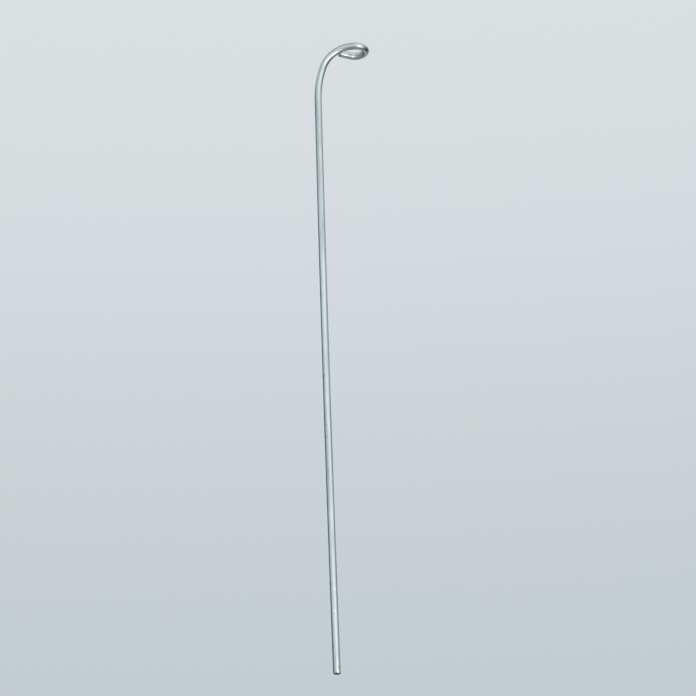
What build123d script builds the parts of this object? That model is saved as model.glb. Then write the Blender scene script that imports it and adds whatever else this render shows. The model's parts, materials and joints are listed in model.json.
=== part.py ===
from build123d import *
from math import cos, radians, sin
import os

os.makedirs("parts", exist_ok=True)

# A ceiling suspension wire: one length of drawn round steel wire. Its top is bent over and
# turned once into an eye that lies flat against the ceiling, and the shank hangs from it.
# The origin is the middle of the eye, in the mid-plane of the wire that forms it. +Z is up,
# and +X runs along the strand where it enters the eye.

# The wire, in millimetres
wire_diameter = 4.0
# From the top of the eye, which bears on the ceiling, down to the sheared end
drop_length = 375.0
# Rim left round by the shear at both ends
sheared_rim = 0.45

# The eye
eye_bore = 7.7
# How far the wire turns round the eye before it runs off straight, in degrees
eye_turn = 219.0
# Left open between the end of the tail and the strand that it closes on, seen from above
tail_gap = 2.5

# The bend from the eye down into the shank
neck_length = 1.5
bend_radius = 17.3
# The last part of the quarter turn is slacker, where the wire springs back from the former
runout_radius = 60.0
runout_turn = 19.3

# Worked out from the sizes above, all along the centre of the wire
wire_radius = wire_diameter / 2
eye_radius = eye_bore / 2 + wire_radius
bend_turn = 90.0 - runout_turn
bend_reach = bend_radius * sin(radians(bend_turn))
bend_drop = bend_radius * (1 - cos(radians(bend_turn)))
runout_reach = runout_radius * (1 - sin(radians(bend_turn)))
runout_drop = runout_radius * cos(radians(bend_turn))
shank_x = -(neck_length + bend_reach + runout_reach)
shank_top = -(bend_drop + runout_drop)
shank_end = wire_radius - drop_length

# The tail stops where the near corner of its end face is one gap short of the strand
strand_side = wire_radius - eye_radius
tail_start_y = -eye_radius * cos(radians(eye_turn))
tail_corner_y = wire_radius * abs(cos(radians(eye_turn)))
tail_rise = tail_start_y - tail_corner_y - tail_gap - strand_side
tail_length = tail_rise / abs(sin(radians(eye_turn)))

with BuildPart() as suspension_wire:
    # Shank, bend and neck stand in one upright plane, along the near side of the eye
    with BuildLine(Plane.XZ.offset(eye_radius)) as strand:
        shank = Line((shank_x, shank_end), (shank_x, shank_top))
        runout = JernArc(shank @ 1, shank % 1, runout_radius, -runout_turn)
        bend = JernArc(runout @ 1, runout % 1, bend_radius, -bend_turn)
        neck = Line(bend @ 1, bend @ 1 + (bend % 1) * neck_length)
    # The eye and its tail lie flat
    with BuildLine(Plane.XY) as eye:
        turn = JernArc(neck @ 1, neck % 1, eye_radius, eye_turn)
        tail = Line(turn @ 1, turn @ 1 + (turn % 1) * tail_length)
    with BuildSketch(Plane(shank @ 0, z_dir=shank % 0)) as section:
        Circle(wire_radius)
    sweep(path=Wire(strand.edges() + eye.edges()))
    # Both ends were sheared off square, which rolls their rims over
    end_faces = suspension_wire.faces().filter_by(GeomType.PLANE)
    fillet(end_faces.edges(), sheared_rim)

suspension_wire.part.label = "suspension_wire"
export_step(suspension_wire.part, "parts/suspension_wire.step")
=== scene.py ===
import bpy
import json
import math
from mathutils import Matrix, Vector, noise


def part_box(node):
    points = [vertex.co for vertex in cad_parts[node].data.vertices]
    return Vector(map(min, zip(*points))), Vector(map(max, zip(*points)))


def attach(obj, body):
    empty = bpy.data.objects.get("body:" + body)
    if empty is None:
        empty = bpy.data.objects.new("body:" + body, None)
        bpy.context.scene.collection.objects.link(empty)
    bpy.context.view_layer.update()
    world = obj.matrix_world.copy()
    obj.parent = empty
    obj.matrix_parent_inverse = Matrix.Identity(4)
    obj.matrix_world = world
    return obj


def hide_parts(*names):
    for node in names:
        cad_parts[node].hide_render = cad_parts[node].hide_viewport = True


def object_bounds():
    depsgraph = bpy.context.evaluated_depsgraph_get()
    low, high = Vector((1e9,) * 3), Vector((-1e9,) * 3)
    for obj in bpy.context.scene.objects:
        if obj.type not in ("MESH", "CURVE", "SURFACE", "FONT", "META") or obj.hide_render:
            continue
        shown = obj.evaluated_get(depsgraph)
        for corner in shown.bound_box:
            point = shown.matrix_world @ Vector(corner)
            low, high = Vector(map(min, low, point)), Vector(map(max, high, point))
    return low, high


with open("model.json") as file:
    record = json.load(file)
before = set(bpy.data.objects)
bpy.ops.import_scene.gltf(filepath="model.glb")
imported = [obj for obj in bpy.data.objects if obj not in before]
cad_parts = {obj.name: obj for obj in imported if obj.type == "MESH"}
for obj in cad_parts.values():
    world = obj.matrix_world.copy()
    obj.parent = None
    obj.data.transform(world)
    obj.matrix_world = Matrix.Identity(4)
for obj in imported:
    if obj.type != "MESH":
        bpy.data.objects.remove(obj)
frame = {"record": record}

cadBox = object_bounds()
mm = 0.001
print("frame loaded")


# Colours are written as sRGB hex and turned linear here
def linear(hexColour):
    parts = [int(hexColour[i:i + 2], 16) / 255 for i in (1, 3, 5)]
    return tuple(c / 12.92 if c <= 0.04045 else ((c + 0.055) / 1.055) ** 2.4 for c in parts) + (1,)


# Fills a node's inputs: each gets a plain value, or a (node, output) that is linked to it
def fill(tree, node, inputs):
    for name, value in inputs.items():
        if isinstance(value, tuple) and isinstance(value[0], bpy.types.Node):
            tree.links.new(value[0].outputs[value[1]], node.inputs[name])
        else:
            node.inputs[name].default_value = value


def addNode(tree, kind, settings=None, inputs=None):
    node = tree.nodes.new(kind)
    for name, value in (settings or {}).items():
        setattr(node, name, value)
    fill(tree, node, inputs or {})
    return node


# Mixes two colours by a share. A Mix node takes them at inputs 6 and 7, and its output 2 is the mix.
def mixColours(tree, share, first, second, blend="MIX"):
    node = addNode(tree, "ShaderNodeMix", {"data_type": "RGBA", "blend_type": blend},
                   {"Factor": share, 6: first, 7: second})
    return node, 2


# Carries a value that lies between two edges over to other limits, eased unless told otherwise
def carryOver(tree, value, edges, limits=(0.0, 1.0), easing="SMOOTHSTEP"):
    node = addNode(tree, "ShaderNodeMapRange", {"interpolation_type": easing}, {
        "Value": value, "From Min": edges[0], "From Max": edges[1],
        "To Min": limits[0], "To Max": limits[1]})
    return node, "Result"


# The wire. Its bends repeat the solid's own sizes; the mounts and the box give the rest.
wireForm = {
    "neckLength": 1.5 * mm,
    "bendRadius": 17.3 * mm,
    "runoutRadius": 60 * mm,
    "runoutTurn": math.radians(19.3),
    "eyeTurn": math.radians(219),
    "tailGap": 2.5 * mm,
    "shearedRim": 0.45 * mm,
    "shankBow": 0.5 * mm,           # how far mid-shank stands off the straight line
    "cutSlant": math.radians(4),    # the shear leaves the lower end a little out of square
    "cutSlantFacing": math.radians(-81),
    "coatDrawnOver": math.radians(63),    # how far over the lower rim the shear draws the coat
    "coatUnevenness": 0.007 * mm,
    "coatLump": 5 * mm,
    "breakRoughness": 0.05 * mm,
    "breakGrain": 0.5 * mm,
    "stepOnShank": 0.4 * mm,
    "stepOnBends": 0.3 * mm,
    "sides": 56,
    "rimSteps": 7,
    "ringsOnCut": (0.9, 0.75, 0.6, 0.45, 0.3, 0.15),    # in radii of the flat of the cut
}

# Small knocks, in mm: distance along the wire from its lower end, depth, length along the wire and
# width round it. Facing is in degrees round the wire, and on the shank -81 looks at the camera.
# Dulled is the share of dirt that a knock holds, and below zero the share of painted highlight:
# paler zinc laid where the lamps' highlight falls, to brighten the wire's highlight and glints there.
knocks = [
    # painted highlight: a long strip of paler zinc along the highlight near the lower end
    {"up": 2.5, "facing": -68, "depth": 0.0, "length": 14.0, "width": 1.2, "dulled": -0.9},
    {"up": 2.9, "facing": -39, "depth": 0.16, "length": 0.9, "width": 0.9, "dulled": 0.9},
    {"up": 14.3, "facing": -138, "depth": 0.10, "length": 1.3, "width": 0.9, "dulled": 0.7},
    {"up": 25.2, "facing": -130, "depth": 0.06, "length": 0.8, "width": 0.8, "dulled": 0.5},
    # painted highlight on these two shallow dents, brightening their glints on the highlight
    {"up": 34.0, "facing": -72, "depth": 0.05, "length": 1.3, "width": 1.2, "dulled": -0.9},
    {"up": 46.2, "facing": -73, "depth": 0.06, "length": 1.2, "width": 1.5, "dulled": -0.9},
    {"up": 49.4, "facing": -135, "depth": 0.10, "length": 1.5, "width": 0.9, "dulled": 0.8},
    {"up": 88.0, "facing": 118, "depth": 0.10, "length": 1.5, "width": 0.9, "dulled": 0.7},
    {"up": 133.3, "facing": -139, "depth": 0.08, "length": 1.6, "width": 0.9, "dulled": 0.7},
    {"up": 140.3, "facing": -105, "depth": 0.06, "length": 0.8, "width": 1.0, "dulled": 0.6},
    {"up": 169.1, "facing": -129, "depth": 0.10, "length": 1.3, "width": 0.9, "dulled": 0.8},
    {"up": 217.4, "facing": -140, "depth": 0.09, "length": 1.8, "width": 0.9, "dulled": 0.7},
    {"up": 252.0, "facing": 62, "depth": 0.10, "length": 1.2, "width": 1.0, "dulled": 0.8},
    # painted highlight near the tip of the tail, brightening its highlight
    {"up": 411.5, "facing": 56, "depth": 0.02, "length": 4.5, "width": 3.0, "dulled": -1.0},
]

# The lip that the shear turns out beside the lower end
burr = {"facing": math.radians(5), "spread": math.radians(55), "height": 0.10 * mm, "reach": 0.9 * mm}

mounts = {m["name"]: m["dims"] for m in frame["record"]["mounts"]}
wireRadius = mounts["shank"]["r_mm"] * mm
eyeRadius = mounts["eye"]["r_mm"] * mm + wireRadius
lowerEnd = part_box("suspension_wire")[0][2]


# Points along the centre of the wire, from the sheared lower end to the tip of the tail
def centreLine():
    form = wireForm
    near = Vector((0, -eyeRadius, 0))      # the strand runs along the near side of the eye
    bendTurn = math.pi / 2 - form["runoutTurn"]

    # Both upright arcs turn about centres below and beside the neck
    def onArc(centre, radius, angle):
        return centre + radius * Vector((-math.sin(angle), 0, math.cos(angle)))

    bendCentre = near + Vector((-form["neckLength"], 0, -form["bendRadius"]))
    slack = form["runoutRadius"] - form["bendRadius"]
    runoutCentre = bendCentre + slack * Vector((math.sin(bendTurn), 0, -math.cos(bendTurn)))
    shankTop = onArc(runoutCentre, form["runoutRadius"], math.pi / 2)
    shankFoot = Vector((shankTop.x, shankTop.y, lowerEnd))
    bowed = Vector((-form["shankBow"], 0, 0))

    def onEye(angle):
        return eyeRadius * Vector((math.sin(angle), -math.cos(angle), 0))

    turn = form["eyeTurn"]
    tailStart = onEye(turn)
    heading = Vector((math.cos(turn), math.sin(turn), 0))
    strandSide = wireRadius - eyeRadius
    tailRise = tailStart.y - wireRadius * abs(heading.x) - form["tailGap"] - strandSide
    tailLength = tailRise / abs(heading.y)

    # Each stretch: its length, its step, and a point for every share of it from 0 to 1
    stretches = [
        ((shankTop - shankFoot).length, form["stepOnShank"],
         lambda u: shankFoot.lerp(shankTop, u) + bowed * 4 * u * (1 - u)),
        (form["runoutRadius"] * form["runoutTurn"], form["stepOnBends"],
         lambda u: onArc(runoutCentre, form["runoutRadius"], math.pi / 2 - form["runoutTurn"] * u)),
        (form["bendRadius"] * bendTurn, form["stepOnBends"],
         lambda u: onArc(bendCentre, form["bendRadius"], bendTurn * (1 - u))),
        (form["neckLength"], form["stepOnBends"],
         lambda u: near + Vector((-form["neckLength"] * (1 - u), 0, 0))),
        (eyeRadius * turn, form["stepOnBends"], lambda u: onEye(turn * u)),
        (tailLength, form["stepOnBends"], lambda u: tailStart + heading * tailLength * u),
    ]
    points = []
    for length, step, place in stretches:
        count = math.ceil(length / step)
        points += [place(i / count) for i in range(count)]
    return points + [tailStart + heading * tailLength]


# A side and an up direction at each point, that don't twist along the wire
def untwistedFrames(points):
    last = len(points) - 1
    tangents = [(points[min(last, i + 1)] - points[max(0, i - 1)]).normalized() for i in range(last + 1)]
    side = Vector((1, 0, 0))
    frames = []
    for i, tangent in enumerate(tangents):
        if i:
            side = tangents[i - 1].rotation_difference(tangent) @ side
        side = (side - tangent * side.dot(tangent)).normalized()
        frames.append((side, tangent.cross(side), tangent))
    return frames


# How far the skin stands off a true round at one place on the wire, and its share of dirt there,
# which below zero is a share of painted highlight
def skinAt(run, angle):
    around = Vector((math.cos(angle), math.sin(angle), 0)) * wireRadius
    lump = wireForm["coatLump"]    # twice as long along the wire as round it
    offset = wireForm["coatUnevenness"] * noise.noise((around * 2 + Vector((0, 0, run))) / lump)
    dulled = 0.0
    for knock in knocks:
        along = (run - knock["up"] * mm) / (knock["length"] * mm)
        if abs(along) < 2:    # further off nothing of it is left
            turned = math.remainder(angle - math.radians(knock["facing"]), 2 * math.pi)
            across = turned * wireRadius / (knock["width"] * mm)
            q = 4 * (along * along + across * across)    # 1 half a length or width away
            offset -= knock["depth"] * mm * (1 - 0.5 * q) * math.exp(-q)    # a dent with a low lip
            # dirt from the dark knocks, and below zero painted highlight from the bright ones
            dulled += knock["dulled"] * math.exp(-q * q)
    lipShare = 1 - run / burr["reach"]
    if lipShare > 0:
        turned = math.remainder(angle - burr["facing"], 2 * math.pi) / burr["spread"]
        offset += burr["height"] * lipShare * lipShare * math.exp(-turned * turned)
    return offset, dulled


# A closed skin swept along the centre line, its ends rolled over by the shear
def buildWire():
    form = wireForm
    points = centreLine()
    frames = untwistedFrames(points)
    runs = [0.0]
    for a, b in zip(points, points[1:]):
        runs.append(runs[-1] + (b - a).length)
    last = len(points) - 1
    rim = form["shearedRim"]

    # Every ring: its point, its radius, its shift along the wire, and how much of it is cut steel
    endRings = []
    coated = form["coatDrawnOver"]
    for i in range(1, form["rimSteps"] + 1):
        over = math.pi / 2 * i / form["rimSteps"]
        cut = max(0, (over - coated) / (math.pi / 2 - coated))
        endRings.append((wireRadius - rim * (1 - math.cos(over)), rim * (1 - math.sin(over)), cut))
    endRings += [((wireRadius - rim) * share, 0.0, 1.0) for share in form["ringsOnCut"]]
    rings = [(0, radius, shift, cut) for radius, shift, cut in reversed(endRings)]
    rings += [(i, wireRadius, 0.0, 0.0) for i in range(last + 1) if rim <= runs[i] <= runs[-1] - rim]
    rings += [(last, radius, -shift, cut) for radius, shift, cut in endRings]

    verts, spaces, marks = [], [], []

    def addPoint(index, radius, shift, cut, angle):
        side, other, tangent = frames[index]
        if index == 0:
            reach = wireRadius + radius * math.cos(angle - form["cutSlantFacing"])
            shift -= math.tan(form["cutSlant"]) * reach
        run = runs[index] + shift
        across = Vector((math.cos(angle), math.sin(angle), 0)) * radius
        offset, dulled = skinAt(run, angle)
        radius += offset * (radius / wireRadius)
        broken = 0.0
        if cut >= 1.0:
            grain = noise.noise((across + Vector((0, 0, run))) / form["breakGrain"])
            broken = form["breakRoughness"] * grain
        outward = side * math.cos(angle) + other * math.sin(angle)
        verts.append(points[index] + outward * radius + tangent * (shift + broken))
        spaces.append((across.x, across.y, run))
        bare = min(1.0, cut) if index == 0 else 0.0    # the tail was cut before it was plated
        # shares of bare steel, of dirt and of painted highlight
        marks.append((bare, max(0.0, dulled), max(0.0, -dulled)))

    for ring in rings:
        for k in range(form["sides"]):
            addPoint(*ring, 2 * math.pi * k / form["sides"])
    addPoint(0, 0.0, 0.0, 1.0, 0.0)    # the middles of both ends
    addPoint(last, 0.0, 0.0, 1.0, 0.0)

    faces = []
    sides = form["sides"]
    top = (len(rings) - 1) * sides
    for k in range(sides):
        n = (k + 1) % sides
        faces += [(r * sides + k, r * sides + n, (r + 1) * sides + n, (r + 1) * sides + k)
                  for r in range(len(rings) - 1)]
        faces += [(n, k, len(verts) - 2), (top + k, top + n, len(verts) - 1)]

    mesh = bpy.data.meshes.new("suspensionWire")
    mesh.from_pydata(verts, [], faces)
    space = mesh.attributes.new("wireSpace", "FLOAT_VECTOR", "POINT")
    space.data.foreach_set("vector", [c for s in spaces for c in s])
    # bare steel, dirt and painted highlight, one share each
    marked = mesh.attributes.new("bareDirtPaintedHighlight", "FLOAT_VECTOR", "POINT")
    marked.data.foreach_set("vector", [c for m in marks for c in m])
    mesh.shade_smooth()
    wire = bpy.data.objects.new("suspensionWire", mesh)
    bpy.context.scene.collection.objects.link(wire)
    return wire


# Drawn steel wire with a thin bright zinc coat: pale cool grey, satin, with faint lines left along
# it by the die. On the sheared lower end the steel is bare, dark and dull, but smoother and paler
# where the shear bit first. Each pattern comes in between the two values given as its edge.
zincFinish = {
    "zinc": "#E3E9E9",
    "zincDull": "#D5DCDE",
    "speck": "#909A9A",
    "steelBroken": "#686A69",
    "steelBitten": "#A2A5A5",
    "biteFacing": math.radians(185),
    "biteEdge": (0.25, 0.55),   # in wire radii from the middle of the cut
    "dirt": "#5F6665",
    # painted highlight: paler zinc laid on the bright knocks
    "paintedHighlight": "#F7FAFA",
    "roughness": (0.25, 0.32),
    "roughnessEdge": (0.3, 0.7),
    "steelRoughness": 0.52,
    "dieLineSpacing": 0.2,      # mm
    "dieLineDepth": 0.02,       # mm
    "streakSpacing": 0.75,      # mm; the coarser streaks, drawn this wide so that they show
    "streakShade": 0.80,
    "streakEdge": (0.34, 0.56),
    "lineLength": 55.0,         # mm
    "cloudSize": 3.5,           # mm, the coat's faint mottling
    "cloudStretch": 6,          # times as long along the wire as round it
    "cloudEdge": (0.42, 0.66),
    "speckSpacing": 1.0,        # mm
    "speckStretch": 1.6,
    "speckEdge": (0.72, 0.79),
    "noiseRoughness": 0.55,
}


def zincCoatedWire():
    look = zincFinish
    material = bpy.data.materials.new("brightZincOnDrawnSteel")
    material.use_nodes = True
    tree = material.node_tree
    shader = tree.nodes["Principled BSDF"]
    space = addNode(tree, "ShaderNodeAttribute", {"attribute_name": "wireSpace"})
    marks = addNode(tree, "ShaderNodeAttribute", {"attribute_name": "bareDirtPaintedHighlight"})
    mark = addNode(tree, "ShaderNodeSeparateXYZ", None, {"Vector": (marks, "Vector")})

    def stretched(around, along, detail):
        scale = (1 / (around * mm), 1 / (around * mm), 1 / (along * mm))
        sized = addNode(tree, "ShaderNodeMapping", None, {"Vector": (space, "Vector"), "Scale": scale})
        pattern = addNode(tree, "ShaderNodeTexNoise", None, {
            "Vector": (sized, "Vector"), "Scale": 1.0, "Detail": detail,
            "Roughness": look["noiseRoughness"]})
        return pattern, "Fac"

    lines = stretched(look["dieLineSpacing"], look["lineLength"], 2.0)
    streaks = stretched(look["streakSpacing"], look["lineLength"], 2.0)
    clouds = stretched(look["cloudSize"], look["cloudSize"] * look["cloudStretch"], 2.0)
    specks = stretched(look["speckSpacing"], look["speckSpacing"] * look["speckStretch"], 1.0)

    dulled = carryOver(tree, clouds, look["cloudEdge"])
    coat = mixColours(tree, dulled, linear(look["zinc"]), linear(look["zincDull"]))
    shade = carryOver(tree, streaks, look["streakEdge"], (look["streakShade"], 1.0), "LINEAR")
    lined = mixColours(tree, 1.0, coat, shade, "MULTIPLY")
    specked = mixColours(tree, carryOver(tree, specks, look["speckEdge"]), lined, linear(look["speck"]))
    dirty = mixColours(tree, (mark, "Y"), specked, linear(look["dirt"]))
    # painted highlight: the bright knocks get the paler zinc
    paintedHighlight = mixColours(tree, (mark, "Z"), dirty, linear(look["paintedHighlight"]))

    facing = look["biteFacing"]
    perRadius = (math.cos(facing) / wireRadius, math.sin(facing) / wireRadius, 0)
    towardsBite = addNode(tree, "ShaderNodeVectorMath", {"operation": "DOT_PRODUCT"},
                          {0: (space, "Vector"), 1: perRadius})
    bitten = carryOver(tree, (towardsBite, "Value"), look["biteEdge"])
    steel = mixColours(tree, bitten, linear(look["steelBroken"]), linear(look["steelBitten"]))
    coloured = mixColours(tree, (mark, "X"), paintedHighlight, steel)

    # Between two numbers a Mix node takes inputs 2 and 3, and its output 0 is the mix
    coatRough = carryOver(tree, clouds, look["roughnessEdge"], look["roughness"], "LINEAR")
    rough = addNode(tree, "ShaderNodeMix", {"data_type": "FLOAT"},
                    {"Factor": (mark, "X"), 2: coatRough, 3: look["steelRoughness"]})
    bump = addNode(tree, "ShaderNodeBump", None,
                   {"Height": lines, "Distance": look["dieLineDepth"] * mm, "Strength": 1.0})
    fill(tree, shader, {
        "Base Color": coloured, "Metallic": 1.0, "Roughness": (rough, 0), "Normal": (bump, "Normal")})
    return material


wire = buildWire()
wire.data.materials.append(zincCoatedWire())
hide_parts("suspension_wire")
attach(wire, "root")
print("wire built:", len(wire.data.vertices), "points")


# The stage: a pale floor a room's height below the eye, and pale surroundings. What the metal
# mirrors is three rings of tones round the room, one above the other, and a tone straight down.
# A ring's turns run from the left of the picture by way of the camera, the right and the backdrop.
stage = {
    "floorDrop": 2.5,       # metres
    "floorSize": 60.0,      # metres
    "floorColour": "#DBE5E8",
    "floorRoughness": 0.9,
    "paleAbove": "#DADFE2",
    "paleBelow": "#C2CBCE",
    "daylight": 0.76,
    "above": [
        (0.00, "#A4AAAD"), (0.06, "#A4AAAD"), (0.12, "#9AA0A3"), (0.20, "#9AA0A3"), (0.27, "#BEC4C7"),
        (0.36, "#CCD2D5"), (0.50, "#BCC2C5"), (0.60, "#ABB1B3"), (0.80, "#ABB1B3"), (1.00, "#A4AAAD"),
    ],
    "level": [
        (0.00, "#657678"), (0.03, "#A8B3B5"), (0.06, "#BFC9CC"), (0.11, "#CFD9DC"), (0.16, "#DAE3E6"),
        (0.21, "#E4EBEF"), (0.26, "#EAF1F5"), (0.34, "#E7EDF1"), (0.39, "#DDE4E7"), (0.44, "#C5CBCE"),
        (0.50, "#9DA5A7"), (0.57, "#848C8F"), (0.65, "#8F989A"), (0.74, "#B1BABC"), (0.80, "#869496"),
        (0.86, "#26383A"), (0.95, "#223436"), (1.00, "#657678"),
    ],
    "below": [
        (0.00, "#8E9598"), (0.15, "#969C9F"), (0.195, "#C4CACD"), (0.23, "#AEB4B7"), (0.27, "#CED4D7"),
        (0.34, "#E2E8EB"), (0.40, "#DCE2E5"), (0.45, "#A8AEB1"), (0.50, "#6A7072"), (0.55, "#24292A"),
        (0.61, "#1A1F20"), (0.65, "#8A9092"), (0.72, "#959B9D"), (0.79, "#747A7C"), (0.90, "#5A6062"),
        (1.00, "#8E9598"),
    ],
    "straightDown": "#7C8285",
    "roomBrightness": 1.26,
    # Heights at which a tone starts to come in and is there in full: 1 is straight up
    "comesIn": {
        "above": (0.47, 0.59), "below": (0.44, 0.05), "straightDown": (-0.7, -0.95),
        "paleAbove": (0.30, 0.53),
    },
}


def makeFloor():
    half = stage["floorSize"] / 2
    z = -stage["floorDrop"]
    corners = [(-half, -half, z), (half, -half, z), (half, half, z), (-half, half, z)]
    mesh = bpy.data.meshes.new("floor")
    mesh.from_pydata(corners, [], [(0, 1, 2, 3)])
    floor = bpy.data.objects.new("floor", mesh)
    bpy.context.scene.collection.objects.link(floor)
    material = bpy.data.materials.new("paleFloor")
    material.use_nodes = True
    fill(material.node_tree, material.node_tree.nodes["Principled BSDF"],
         {"Base Color": linear(stage["floorColour"]), "Roughness": stage["floorRoughness"]})
    mesh.materials.append(material)
    floor.visible_glossy = False    # the metal mirrors the stage's tones instead


# The world lights the wire evenly, is mirrored as the rings of tones, and is seen as a pale ground
def makeWorld():
    world = bpy.data.worlds.new("studio")
    bpy.context.scene.world = world
    world.use_nodes = True
    tree = world.node_tree
    tree.nodes.clear()
    where = addNode(tree, "ShaderNodeTexCoord")
    heading = math.radians(viewpoint["headingLeft"])
    turned = addNode(tree, "ShaderNodeMapping", {"vector_type": "POINT"},
                     {"Vector": (where, "Generated"), "Rotation": (0, 0, -heading)})
    axes = addNode(tree, "ShaderNodeSeparateXYZ", None, {"Vector": (turned, "Vector")})
    around = addNode(tree, "ShaderNodeTexGradient", {"gradient_type": "RADIAL"},
                     {"Vector": (turned, "Vector")})

    def comesIn(name):
        return carryOver(tree, (axes, "Z"), stage["comesIn"][name])

    def ring(name):
        node = addNode(tree, "ShaderNodeValToRGB", None, {"Fac": (around, "Fac")})
        stops = node.color_ramp.elements
        while len(stops) < len(stage[name]):
            stops.new(0.5)
        for stop, (place, hexColour) in zip(stops, stage[name]):
            stop.position = place
            stop.color = linear(hexColour)
        return node, "Color"

    lower = mixColours(tree, comesIn("below"), ring("level"), ring("below"))
    lowest = mixColours(tree, comesIn("straightDown"), lower, linear(stage["straightDown"]))
    room = mixColours(tree, comesIn("above"), lowest, ring("above"))
    pale = mixColours(tree, comesIn("paleAbove"), linear(stage["paleBelow"]), linear(stage["paleAbove"]))

    light = addNode(tree, "ShaderNodeBackground", None,
                    {"Color": (1, 1, 1, 1), "Strength": stage["daylight"]})
    shown = addNode(tree, "ShaderNodeBackground", None, {"Color": pale, "Strength": 1.0})
    reflected = addNode(tree, "ShaderNodeBackground", None,
                        {"Color": room, "Strength": stage["roomBrightness"]})
    path = addNode(tree, "ShaderNodeLightPath")
    mirrored = addNode(tree, "ShaderNodeMath", {"operation": "ADD", "use_clamp": True},
                       {0: (path, "Is Glossy Ray"), 1: (path, "Is Transmission Ray")})
    lit = addNode(tree, "ShaderNodeMixShader", None, {0: (mirrored, 0), 1: (light, 0), 2: (reflected, 0)})
    seen = addNode(tree, "ShaderNodeMixShader", None,
                   {0: (path, "Is Camera Ray"), 1: (lit, 0), 2: (shown, 0)})
    addNode(tree, "ShaderNodeOutputWorld", None, {"Surface": (seen, 0)})


# Two soft lamps to the right of the camera and lower than the wire's middle, in metres
lamps = {
    "key": {"from": (1.885, -2.14, -1.0), "size": (0.8, 2.8), "watts": 9.6},
    "side": {"from": (1.95, -0.95, -2.2), "size": (1.8, 1.3), "watts": 7.5},
}


def makeLamps():
    middle = (cadBox[0] + cadBox[1]) / 2
    for name, lamp in lamps.items():
        data = bpy.data.lights.new(name, "AREA")
        data.shape = "RECTANGLE"
        data.size, data.size_y = lamp["size"]
        data.energy = lamp["watts"]
        lampObject = bpy.data.objects.new(name, data)
        lampObject.location = lamp["from"]
        lampObject.rotation_mode = "QUATERNION"
        lampObject.rotation_quaternion = (Vector(lamp["from"]) - middle).to_track_quat("Z", "Y")
        lampObject.visible_camera = False
        bpy.context.scene.collection.objects.link(lampObject)


# The photograph looks up at the eye from below and a little to the right. Stand is in metres,
# the angles are in degrees, and lens and sensor in mm.
viewpoint = {
    "stand": (0.2457, -1.5348, -0.9156),
    "headingLeft": 9.468,
    "tiltUp": 25.144,
    "roll": -2.058,
    "lens": 163.45,
    "sensor": 36.0,
}


def makeCamera():
    data = bpy.data.cameras.new("camera")
    data.lens = viewpoint["lens"]
    data.sensor_width = viewpoint["sensor"]
    camera = bpy.data.objects.new("camera", data)
    turn = Matrix.Rotation(math.radians(viewpoint["headingLeft"]), 4, "Z")
    tilt = Matrix.Rotation(math.radians(90 + viewpoint["tiltUp"]), 4, "X")
    roll = Matrix.Rotation(math.radians(viewpoint["roll"]), 4, "Z")
    camera.matrix_world = Matrix.Translation(viewpoint["stand"]) @ turn @ tilt @ roll
    bpy.context.scene.collection.objects.link(camera)
    bpy.context.scene.camera = camera


makeFloor()
makeWorld()
makeLamps()
makeCamera()
bpy.context.scene.view_settings.view_transform = "Standard"
print("stage, lamps and camera set")
